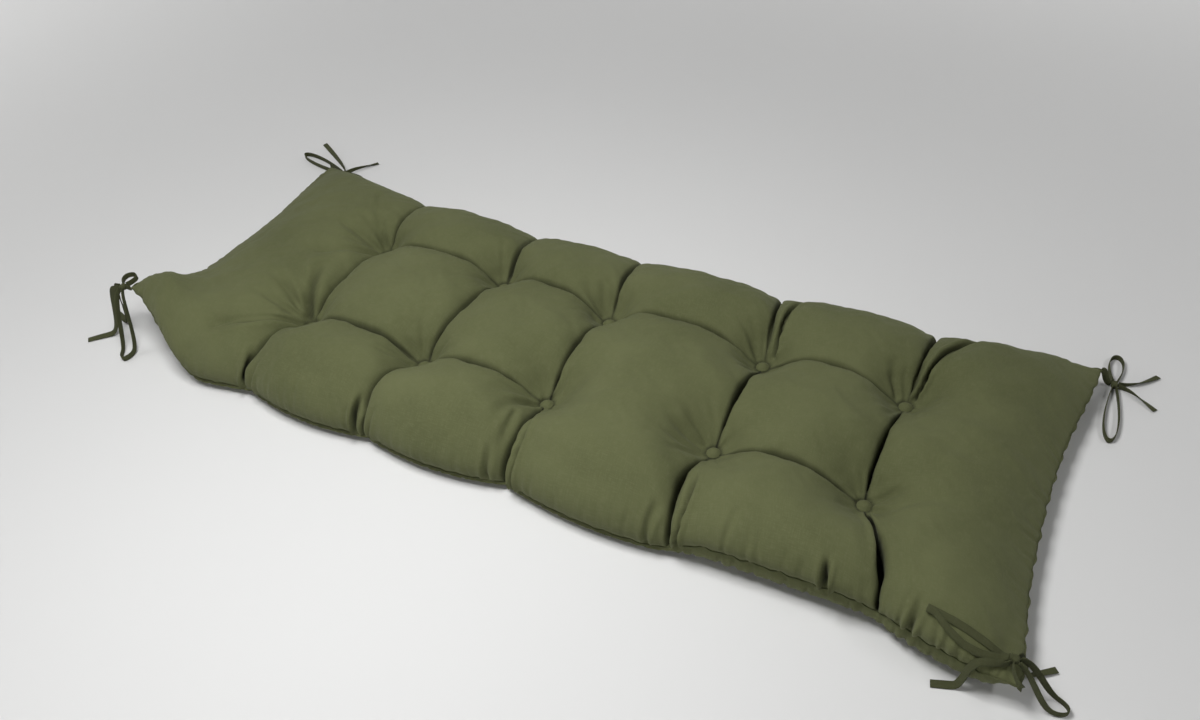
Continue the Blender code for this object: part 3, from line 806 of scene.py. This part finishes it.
def unevenness(x, y):
    total = np.zeros(len(x))
    for share, *waves in gathers["waves"]:
        pitchX, wobbleX, turnX, phaseX, pitchY, wobbleY, turnY, phaseY = waves
        total += share * (np.sin(x * pitchX + wobbleX * np.sin(y * turnX) + phaseX)
                          * np.sin(y * pitchY + wobbleY * np.sin(x * turnY) + phaseY))
    return gathers["unevenness"] * total


def addGathers(piece):
    mesh = piece.data
    places = coordinates(mesh)
    u, v = coverPlaces(mesh)
    top = pointValues(mesh, "topSide") > 0.5
    x, y = planPlace(u, v)
    random = np.random.RandomState(gathers["seed"])
    upper, under = np.zeros(len(u)), np.zeros(len(u))
    sets = ((upper, gathers["pleats"]), (upper, radialPleats(random) + edgePleats(random)),
            (under, radialPleats(random) + edgePleats(random)))
    for lift, pleats in sets:
        for pleat in pleats:
            addPleat(lift, x, y, pleat)
    inside = unit(np.minimum.reduce(fromSides(x, y, u, v)) / gathers["evenRim"])
    onButton = np.ones(len(u))
    for near in fromButtons(x, y):
        onButton *= smoothStep(near, *gathers["clearOfButton"])
    resting = unit(places[:, 2] / gathers["restBelow"])   # the bottom stays flat where it rests
    off = np.where(top, (upper + unevenness(x, y) * inside) * onButton, under * resting)
    rim = onSeam(u, v)
    off[rim] = ripple(np.where((v < 1e-4) | (v > 2.9999), x, y)[rim], *gathers["seamWave"])
    # painted shade: the bottoms of deep pleats, creases and button rings go into the crease attribute, which
    # darkens the cloth's colour
    pleated = unit((-upper - gathers["creaseFrom"]) / gathers["creaseRange"])
    crease = np.maximum(paintedShadeShare(u, v), gathers["creaseShade"] * pleated)
    setPointValues(mesh, "crease", crease * (top & ~rim))
    places += coordinates(mesh, "normal") * off[:, None]
    places[:, 2] = np.maximum(places[:, 2], gathers["lowest"])
    setCoordinates(mesh, places)


flatCloth = (1.40, 0.50)   # what one panel of the cover is cut from


def finished(piece, material, flat):
    layUv(piece.data, flat)
    piece.data.shade_smooth()
    piece.data.materials.clear()
    piece.data.materials.append(material)
    return piece


def makeCover():
    along, across, fields = fillingMoves()
    piece = layCover("cover", fineLines(),
                     lambda u, v: topPlaces(u, v) + carried(along, across, fields[1], u, v),
                     lambda u, v: bottomPlaces(u, v) + carried(along, across, fields[0], u, v))
    print("cover laid: %d points" % len(piece.data.vertices))
    addGathers(piece)
    u, v = coverPlaces(piece.data)
    flat = np.stack([u * flatCloth[0] / 6.0, v * flatCloth[1] / 3.0], axis=1)
    return finished(piece, clothMaterial("cover cloth", paintsCreaseShade=True), flat)


coverPiece = makeCover()
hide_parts("cushion")
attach(coverPiece, "root")
print("cover made: %d faces" % len(coverPiece.data.polygons))

coverTree = BVHTree.FromPolygons([vert.co for vert in coverPiece.data.vertices],
                                 [tuple(face.vertices) for face in coverPiece.data.polygons])


def coverHeight(x, y):
    # how high the finished cover is, seen from above, or nothing beside it
    place = coverTree.ray_cast(Vector((x, y, 1.0)), -up)[0]
    return place.z if place is not None else 0.0


def loft(name, rings, closed, material, uvAt):
    # a skin over rings of points; uvAt lays a corner on the flat cloth, from its point, ring and turn
    bm = bmesh.new()
    layer = bm.loops.layers.uv.new("clothMetres")
    rows = [[bm.verts.new(place) for place in ring] for ring in rings]
    count = len(rows[0])
    for number in range(len(rows) if closed else len(rows) - 1):
        here, there = rows[number], rows[(number + 1) % len(rows)]
        for corner in range(count):
            after = (corner + 1) % count
            face = bm.faces.new((here[corner], here[after], there[after], there[corner]))
            marks = ((number, corner), (number, corner + 1), (number + 1, corner + 1), (number + 1, corner))
            for loop, mark in zip(face.loops, marks):
                loop[layer].uv = uvAt(loop.vert.co, *mark)
    if not closed:
        bm.faces.new(rows[0])
        bm.faces.new(rows[-1])
    bmesh.ops.recalc_face_normals(bm, faces=bm.faces)
    mesh = bpy.data.meshes.new(name)
    bm.to_mesh(mesh)
    bm.free()
    mesh.shade_smooth()
    mesh.materials.append(material)
    return linked(name, mesh)


# the lip of the seam, where the two panels' edges stand out a little
seamLip = {"depth": 0.0014, "thickness": 0.0010, "inner": 0.0015, "wave": (0.0004, 190.0, 311.0),
           "rounding": 0.8, "flat": 0.4, "darker": 0.72}


def seamRing(mesh):
    u, v = coverPlaces(mesh)
    rim = np.nonzero(onSeam(u, v))[0]
    u, v = u[rim], v[rim]
    turn = np.select([v < 1e-4, u > 6.0 - 1e-4, v > 3.0 - 1e-4], [u, 6.0 + v, 15.0 - u], 18.0 - v)
    return coordinates(mesh)[rim[np.argsort(turn)]]


def makeSeamLip():
    ring = seamRing(coverPiece.data)
    tangents = np.roll(ring, -1, axis=0) - np.roll(ring, 1, axis=0)
    tangents[:, 2] = 0.0
    outward = np.stack([tangents[:, 1], -tangents[:, 0], np.zeros(len(ring))], axis=1)
    outward /= np.linalg.norm(outward, axis=1, keepdims=True)
    half, deep, inner = seamLip["thickness"] / 2.0, seamLip["depth"], -seamLip["inner"]
    rounded, flat = deep * seamLip["rounding"], half * seamLip["flat"]
    profile = ((inner, -half), (rounded, -half), (deep, -flat), (deep, flat), (rounded, half), (inner, half))
    along = np.concatenate([[0.0], np.cumsum(np.linalg.norm(np.diff(ring, axis=0), axis=1))])
    wave = ripple(along, *seamLip["wave"]) / deep
    rings = [[place + out * reach + (0.0, 0.0, rise + sway * max(reach, 0.0)) for reach, rise in profile]
             for place, out, sway in zip(ring, outward, wave)]
    # painted shade: the lip's cloth is a darker copy of the cover's, so the lip doesn't show as a lit line
    material = clothMaterial("seam lip cloth", seamLip["darker"])
    return loft("seamLip", rings, True, material, lambda place, ring, turn: (place.x, place.y))


lipPiece = makeSeamLip()
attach(lipPiece, "root")
print("seam lip made")


# the covered buttons; places on them are shares of the radius
button = {
    "radius": 0.0088, "dome": 0.0044, "domePower": 2.6, "under": 0.0030, "underPower": 3.0, "sink": 0.0008,
    "rimGathers": 13, "gatherHeight": 0.00018, "gathersFrom": 0.45, "spread": 0.012, "spreadFrom": 0.6,
    "grooveDepth": 0.0003, "groovePlace": 0.76, "grooveWidth": 0.07,
}


def makeBall(name, segments, rings):
    piece = added(bpy.ops.mesh.primitive_uv_sphere_add, name, segments=segments, ring_count=rings,
                  radius=1.0)
    return piece, coordinates(piece.data)


def makeButton(letter, column, x, y, number):
    name = f"button_{letter}{column}"
    y += cover["toCentre"]
    seat = coverHeight(x, y)
    piece, places = makeBall("cover_" + name, 40, 18)
    angle = np.arctan2(places[:, 1], places[:, 0])
    out = np.hypot(places[:, 0], places[:, 1])
    beyond = lambda start: unit((out - start) / (1.0 - start))
    folds = np.cos(button["rimGathers"] * angle + 1.3 * number + 1.1 * np.sin(2.0 * angle + number))
    groove = bell(out - button["groovePlace"], button["grooveWidth"])
    dome = (button["dome"] * (1.0 - out ** button["domePower"]) - button["grooveDepth"] * groove
            + button["gatherHeight"] * folds * beyond(button["gathersFrom"]))
    height = np.where(places[:, 2] > 0.0, dome, -button["under"] * (1.0 - out ** button["underPower"]))
    spread = button["radius"] * (1.0 + button["spread"] * folds * beyond(button["spreadFrom"]))
    centre = np.array((x, y, seat - button["sink"] + button["under"]))
    laid = np.stack([places[:, 0] * spread, places[:, 1] * spread, height], axis=1) + centre
    setCoordinates(piece.data, laid)
    finished(piece, buttonCloth, laid[:, :2])
    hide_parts(name)
    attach(piece, "root")


buttonCloth = clothMaterial("button cloth", 0.95)
for number, (letter, column, x, y) in enumerate(buttonPlaces):
    makeButton(letter, column, x, y, number)
print("buttons made")


# the tapes: routes as in the part's source, with the same names
tape = {
    "width": 0.0085, "thickness": 0.0013, "edge": 0.00035, "hem": 0.0016, "stitch": 0.0006, "step": 0.0022,
    "strandGap": 0.0004, "knotLength": 0.0100, "knotDepth": 0.0090, "knotHeight": 0.0090, "knotPower": 0.62,
    "knotWraps": (7.0, 0.10, 0.93),   # how many turns, how deep and how wide
    "loopGap": 0.0024, "loopSpread": 0.0100, "loopFall": 1.25, "endFall": (0.14, 1.9),
    "rootHandle": 0.0090, "shortRoot": 0.4, "foldRadius": 0.0016, "foldSpread": 0.0125, "foldEntry": 0.03,
    "foldSag": 0.0006, "underEdge": 0.8, "overCover": 0.0008, "endTurn": 80.0, "seatGap": 0.0003,
    "bows": (
        # root heading; loops: reach and how it lies; ends: reach, heading, straight share, side of the knot
        {"name": "back_left", "corner": (0, 3), "root": 135, "knot": (-0.656, 0.270, 0.0052), "heading": 168,
         "loops": ((0.108, "open"), (0.050, "open")), "ends": ((0.125, 148, 0.06, 1), (0.060, 60, 0.3, 1))},
        {"name": "back_right", "corner": (6, 3), "root": 45, "knot": (0.679, 0.256, 0.0052), "heading": 95,
         "loops": ((0.050, "open"), (0.100, "open")), "ends": ((0.060, 40, 0.3, 1), (0.055, -25, 0.3, 1))},
        {"name": "front_left", "corner": (0, 0), "root": 225,
         "knot": (-0.652, -0.188, 0.0860), "heading": 110,
         "loops": ((0.024, "level"), (0.062, "open")), "ends": ((0.080, 218, 0.3, 1), (0.070, 172, 0.3, 1))},
        {"name": "front_right", "corner": (6, 0), "root": 305,
         "knot": (0.645, -0.232, 0.0550), "heading": 176,
         "loops": ((0.086, "folded"), (0.058, "open")),
         "ends": ((0.072, 200, 0.05, -1), (0.054, 40, 0.05, 1))},
    ),
}


def heading(degrees):
    angle = math.radians(degrees)
    return Vector((math.cos(angle), math.sin(angle), 0.0))


def sideways(direction):
    return Vector((-direction.y, direction.x, 0.0))


def layHeight(angle=0.0):
    return tape["width"] / 2.0 * abs(math.cos(angle)) + tape["thickness"] / 2.0 + 2.0 * tape["seatGap"]


def travelled(route):
    # how far along a route each of its points is
    lengths = [0.0]
    for start, end in zip(route, route[1:]):
        lengths.append(lengths[-1] + (end - start).length)
    return lengths


def evenPoints(route, step):
    lengths = travelled(route)
    count = max(6, round(lengths[-1] / step))
    points, index = [], 0
    for number in range(count + 1):
        target = lengths[-1] * number / count
        while index < len(route) - 2 and lengths[index + 1] < target:
            index += 1
        span = lengths[index + 1] - lengths[index]
        points.append(route[index].lerp(route[index + 1], (target - lengths[index]) / span))
    return points


def clearOfCover(points):
    raised = [point.copy() for point in points]
    for number in range(1, len(points) - 1):
        under = max(coverHeight(place.x, place.y) for place in points[max(number - 2, 0):number + 3])
        if under > 0.0:
            raised[number].z = max(points[number].z, under + layHeight() + tape["overCover"])
    for _ in range(6):   # eases the route where it climbs on to the cover
        eased = [point.copy() for point in raised]
        for number in range(1, len(raised) - 1):
            middle = (raised[number - 1].z + raised[number + 1].z) / 2.0
            eased[number].z = max(raised[number].z, (raised[number].z + middle) / 2.0)
        raised = eased
    return raised


def tangentsOf(points):
    around = zip(points[:1] + points, points[1:] + points[-1:])
    return [(after - before).normalized() for before, after in around]


def acrossDirections(points, turn):
    directions = []
    for number, tangent in enumerate(tangentsOf(points)):
        upright = (up - tangent * tangent.dot(up)).normalized()
        angle = math.radians(turn) * number / (len(points) - 1)
        directions.append(upright * math.cos(angle) + tangent.cross(upright) * math.sin(angle))
    return directions


def loopStart(knot, direction):
    return knot + direction * (tape["knotLength"] / 2.0 + tape["strandGap"])


def loopRoute(knot, direction, reach, style):
    tip = knot.z if style == "level" else layHeight()
    route = []
    for share in np.linspace(0.0, 1.0, 241).tolist():
        out = (1.0 - math.cos(2.0 * math.pi * share)) / 2.0
        spread = tape["loopGap"] * math.cos(math.pi * share)
        spread += tape["loopSpread"] * math.sin(2.0 * math.pi * share) * out ** 0.5
        point = loopStart(knot, direction) + direction * (reach * out) + sideways(direction) * spread
        point.z = knot.z + (tip - knot.z) * smoothStep(out * tape["loopFall"])
        route.append(point)
    return route


def endRoute(knot, outward, offset, reach, direction, straight):
    start = knot + outward * (tape["knotDepth"] / 2.0 + tape["strandGap"]) + sideways(outward) * offset
    tip = start + direction * reach
    bend = start + outward * (reach * straight)
    held, fall = tape["endFall"]
    route = []
    for share in np.linspace(0.0, 1.0, 161).tolist():
        point = start * (1.0 - share) ** 2 + bend * (2.0 * share * (1.0 - share)) + tip * share ** 2
        lying = layHeight(math.radians(tape["endTurn"]) * share)
        point.z = knot.z + (lying - knot.z) * smoothStep((share - held) * fall)
        route.append(point)
    return route


def rootRoute(corner, inner, outward, direction):
    diagonal = Vector((math.copysign(1.0, corner.x), math.copysign(1.0, corner.y), 0.0)).normalized()
    start = corner + diagonal * (2.0 * tape["seatGap"])
    handle = min(tape["rootHandle"], tape["shortRoot"] * (inner - start).length)
    ends = (start, start + direction * handle, inner - outward * handle, inner)
    return list(geometry.interpolate_bezier(*ends, 61))


def foldedSections(knot, direction, reach):
    # two legs that lie on the cover's slope, one a little above the other, with a fold at the tip
    side, start = sideways(direction), loopStart(knot, direction)
    radius, legCount = tape["foldRadius"], round(reach / tape["step"])
    turns = [math.pi * number / 10.0 for number in range(1, 10)]
    legs = [(reach * number / legCount, -radius, 0.0) for number in range(legCount + 1)]
    legs += [(reach + radius * math.sin(turn), -radius * math.cos(turn), 0.0) for turn in turns]
    for number in range(legCount, -1, -1):
        share = number / legCount
        opening = math.sin(math.pi * min(share * 1.1, 1.0)) ** 0.8
        legs.append((reach * share, radius * (1.0 - opening), -tape["foldSpread"] * opening))
    beds, plan = [], []
    half = tape["width"] / 2.0 * tape["underEdge"]
    for out, rise, stray in legs:
        point = start + direction * out - side * stray
        low, high = (coverHeight(*(point + side * across).xy) for across in (-half, half))
        under = max(low, high, coverHeight(point.x, point.y))
        lie = smoothStep(out / tape["foldEntry"])
        slope = Vector((side.x, side.y, (high - low) / (2.0 * half) * lie)).normalized()
        middle = (low + high) / 2.0 * lie + under * (1.0 - lie)
        bed = middle + tape["thickness"] / 2.0 + radius + tape["overCover"] if under else 0.0
        beds.append(max(knot.z * (1.0 - lie), bed))
        plan.append((point, rise, slope, slope.cross(direction).normalized()))
    for _ in range(3):
        eased = [(before + after) / 2.0 for before, after in zip(beds[:1] + beds, beds[1:] + beds[-1:])]
        beds = [max(bed - tape["foldSag"], even) for bed, even in zip(beds, eased)]
    points, directions = [], []
    for (point, rise, slope, outwards), bed in zip(plan, beds):
        point.z = bed
        points.append(point + outwards * (rise if outwards.z > 0.0 else -rise))
        directions.append(slope)
    return points, directions


def openSections(route, turn, beside=False):
    points = evenPoints(route, tape["step"])
    if not beside:
        points = clearOfCover(points)
    return points, acrossDirections(points, turn)


def tapeProfile():
    half, thin, edge = tape["width"] / 2.0, tape["thickness"] / 2.0, tape["edge"]
    hem = half - tape["hem"]   # the stitched edge, a shade lower than the middle
    inner, plain = hem - tape["stitch"], tape["hem"] + 0.0002 - half
    upper = ((half - edge, thin * 0.8), (hem, thin * 0.72), (inner, thin), (0.0, thin * 1.05), (plain, thin),
             (edge - half, thin * 0.9))
    return ((half, 0.0),) + upper + ((-half, 0.0),) + tuple((across, -rise) for across, rise in upper[::-1])


def sweepTape(name, points, directions):
    rings, lengths = [], travelled(points)
    for point, wide, tangent in zip(points, directions, tangentsOf(points)):
        thick = tangent.cross(wide).normalized()
        rings.append([point + wide * across + thick * rise for across, rise in tapeProfile()])
    piece = loft(name, rings, False, tapeCloth, lambda place, ring, turn: (lengths[ring], turn * 0.0014))
    return piece, lengths[-1]


def makeKnot(name, centre, along, outward):
    piece, places = makeBall(name, 28, 16)
    size = np.array((tape["knotLength"], tape["knotDepth"], tape["knotHeight"])) / 2.0
    box = np.sign(places) * np.abs(places) ** tape["knotPower"] * size
    turns, depth, width = tape["knotWraps"]
    wraps = np.cos(places[:, 0] * turns + 1.1 * np.sin(np.arctan2(places[:, 2], places[:, 1])) + 0.5)
    box[:, 1:] *= (1.0 + depth * np.clip(wraps * 1.6, -1.0, 1.0))[:, None] * width
    turned = box[:, :1] * np.array(along) + box[:, 1:2] * np.array(outward) + box[:, 2:] * np.array(up)
    setCoordinates(piece.data, turned + np.array(centre))
    return finished(piece, tapeCloth, np.stack([box[:, 0], box[:, 1] + box[:, 2]], axis=1))


tapeCloth = clothMaterial("tape", 0.55, 0.9)


def makeBow(bow):
    name = bow["name"]
    knotCentre = Vector(bow["knot"]) + Vector((0.0, cover["toCentre"], 0.0))
    along = heading(bow["heading"])
    corner = Vector(topPlaces(*[np.array([float(value)]) for value in bow["corner"]])[0])
    outward = sideways(along)
    knot = makeKnot(f"bow_{name}_knot", knotCentre, along, outward)
    if outward.dot(knotCentre - corner) < 0.0:
        outward.negate()
    inner = knotCentre - outward * (tape["knotDepth"] / 2.0 + tape["strandGap"])
    root = rootRoute(corner, inner, outward, heading(bow["root"]))
    strands = {"root": openSections(root, 0.0, beside=True)}
    for number, (reach, style) in enumerate(bow["loops"], 1):
        direction = along if number == 1 else -along
        if style == "folded":
            strands[f"loop{number}"] = foldedSections(knotCentre, direction, reach)
        else:
            strands[f"loop{number}"] = openSections(loopRoute(knotCentre, direction, reach, style), 0.0)
    for number, (reach, angle, straight, side) in enumerate(bow["ends"], 1):
        offset = tape["loopGap"] * side if number == 1 else -tape["loopGap"]
        route = endRoute(knotCentre, outward * side, offset, reach, heading(angle), straight)
        strands[f"end{number}"] = openSections(route, tape["endTurn"])
    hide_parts(f"tie_{name}_knot")
    for strand, (points, directions) in strands.items():
        piece, length = sweepTape(f"bow_{name}_{strand}", points, directions)
        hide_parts(f"tie_{name}_{strand}")
        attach(piece, "root")
        strand != "root"
        print("tape %s %s: %.0f mm" % (name, strand, length * 1000))
    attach(knot, "root")


for bow in tape["bows"]:
    makeBow(bow)
print("bows made")


# a plain pale floor with a low round wall, and soft studio light
studio = {
    "paleColour": (0.66, 0.66, 0.655, 1.0), "roughness": 0.9,
    "radius": 4.6, "wallHeight": 1.8, "around": 0.03,
    "key": {"place": (-0.05, -0.32, 1.25), "target": (-0.05, -0.20, 0.0), "size": 0.5, "power": 17.4},
    "outer": {"reach": 2.4, "height": 2.6, "size": 1.4, "power": 85.0},   # turned to the floor and wall
}


def makeLamp(name, place, target, size, power):
    data = bpy.data.lights.new(name, "AREA")
    data.size, data.energy = size, power
    lamp = linked(name, data)
    lamp.location = place
    lamp.rotation_euler = (Vector(target) - Vector(place)).to_track_quat("-Z", "Y").to_euler()


def makeStudio():
    surface = bpy.data.materials.new("studio pale")
    surface.use_nodes = True
    shader = surface.node_tree.nodes["Principled BSDF"]
    shader.inputs["Base Color"].default_value = studio["paleColour"]
    shader.inputs["Roughness"].default_value = studio["roughness"]
    radius, height = studio["radius"], studio["wallHeight"]
    floor = added(bpy.ops.mesh.primitive_circle_add, "floor", vertices=96, radius=radius, fill_type="NGON")
    wall = added(bpy.ops.mesh.primitive_cylinder_add, "wall", vertices=96, radius=radius, depth=height,
                 end_fill_type="NOTHING", location=(0.0, 0.0, height / 2.0))
    for piece in (floor, wall):
        piece.data.materials.append(surface)
    key, outer = studio["key"], studio["outer"]
    makeLamp("key lamp", key["place"], key["target"], key["size"], key["power"])
    for number in range(4):
        away = heading(90.0 * number)
        place = away * outer["reach"] + up * outer["height"]
        makeLamp(f"outer lamp {number}", place, place + away - up, outer["size"], outer["power"])
    world = bpy.data.worlds.new("studio")
    world.use_nodes = True
    background = world.node_tree.nodes["Background"].inputs
    background["Color"].default_value = (1.0, 1.0, 1.0, 1.0)
    background["Strength"].default_value = studio["around"]
    scene.world = world


makeStudio()
print("studio made")
